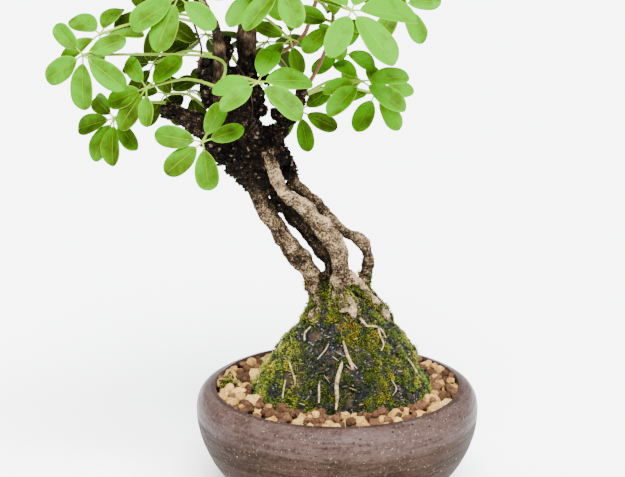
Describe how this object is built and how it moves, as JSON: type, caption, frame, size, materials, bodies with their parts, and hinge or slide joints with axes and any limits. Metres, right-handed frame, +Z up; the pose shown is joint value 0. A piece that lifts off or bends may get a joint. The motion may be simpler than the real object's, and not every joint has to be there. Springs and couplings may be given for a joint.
{
  "type": "potted chocolate vine",
  "caption": "Small trained chocolate vine with five-part leaves on exposed twisting roots, standing in a mossy soil mound in a round unglazed pot with gravel.",
  "frame": {"origin": "middle of the bounding box's underside, on the plane that the pot's foot stands on", "axes": "+Z up through the crown, the longest way; -Y faces the front of the picture, and the trunk leans towards -X"},
  "size_m": [0.2362, 0.16, 0.4015],
  "materials": {
    "drain_mesh": "black plastic net",
    "gravel": "rough, dry pumice and fired clay grains",
    "leaves_centre": "smooth leaf, satin above and dull below",
    "leaves_left_back": "smooth leaf, satin above and dull below",
    "leaves_left_high": "smooth leaf, satin above and dull below",
    "leaves_low_back": "smooth leaf, satin above and dull below",
    "leaves_low_front": "smooth leaf, satin above and dull below",
    "leaves_middle": "smooth leaf, satin above and dull below",
    "leaves_near_high": "smooth leaf, satin above and dull below",
    "leaves_right": "smooth leaf, satin above and dull below",
    "leaves_right_high": "smooth leaf, satin above and dull below",
    "leaves_right_low": "smooth leaf, satin above and dull below",
    "leaves_right_mid": "smooth leaf, satin above and dull below",
    "leaves_stem_left_7": "smooth leaf, satin above and dull below",
    "leaves_stem_left_8": "smooth leaf, satin above and dull below",
    "leaves_stem_left_9": "smooth leaf, satin above and dull below",
    "leaves_stem_right_1": "smooth leaf, satin above and dull below",
    "leaves_stem_right_4": "smooth leaf, satin above and dull below",
    "leaves_stem_right_5": "smooth leaf, satin above and dull below",
    "leaves_stem_right_6": "smooth leaf, satin above and dull below",
    "leaves_stem_right_7": "smooth leaf, satin above and dull below",
    "leaves_stub": "smooth leaf, satin above and dull below",
    "leaves_twining_stem_back_5": "smooth leaf, satin above and dull below",
    "leaves_twining_stem_back_7": "smooth leaf, satin above and dull below",
    "leaves_twining_stem_back_8": "smooth leaf, satin above and dull below",
    "leaves_twining_stem_right_4": "smooth leaf, satin above and dull below",
    "leaves_twining_stem_right_6": "smooth leaf, satin above and dull below",
    "leaves_twining_stem_right_7": "smooth leaf, satin above and dull below",
    "moss_cover": "soft, rough, green with yellow and black patches",
    "pot": "unglazed, matt, purplish brown with pale sand specks",
    "soil": "damp, dark, granular",
    "trunk": "rough bark, near black above and tan on the roots",
    "twining_stem_back": "smooth young bark, red-brown",
    "twining_stem_right": "smooth young bark, red-brown"
  },
  "bodies": {
    "root": {"drain_mesh": "drain_mesh", "gravel": "gravel", "leaves_centre": "leaves_centre", "leaves_left_back": "leaves_left_back", "leaves_left_high": "leaves_left_high", "leaves_low_back": "leaves_low_back", "leaves_low_front": "leaves_low_front", "leaves_middle": "leaves_middle", "leaves_near_high": "leaves_near_high", "leaves_right": "leaves_right", "leaves_right_high": "leaves_right_high", "leaves_right_low": "leaves_right_low", "leaves_right_mid": "leaves_right_mid", "leaves_stem_left_7": "leaves_stem_left_7", "leaves_stem_left_8": "leaves_stem_left_8", "leaves_stem_left_9": "leaves_stem_left_9", "leaves_stem_right_1": "leaves_stem_right_1", "leaves_stem_right_4": "leaves_stem_right_4", "leaves_stem_right_5": "leaves_stem_right_5", "leaves_stem_right_6": "leaves_stem_right_6", "leaves_stem_right_7": "leaves_stem_right_7", "leaves_stub": "leaves_stub", "leaves_twining_stem_back_5": "leaves_twining_stem_back_5", "leaves_twining_stem_back_7": "leaves_twining_stem_back_7", "leaves_twining_stem_back_8": "leaves_twining_stem_back_8", "leaves_twining_stem_right_4": "leaves_twining_stem_right_4", "leaves_twining_stem_right_6": "leaves_twining_stem_right_6", "leaves_twining_stem_right_7": "leaves_twining_stem_right_7", "moss_cover": "moss_cover", "pot": "pot", "soil": "soil", "trunk": "trunk", "twining_stem_back": "twining_stem_back", "twining_stem_right": "twining_stem_right"}
  },
  "joints": []
}
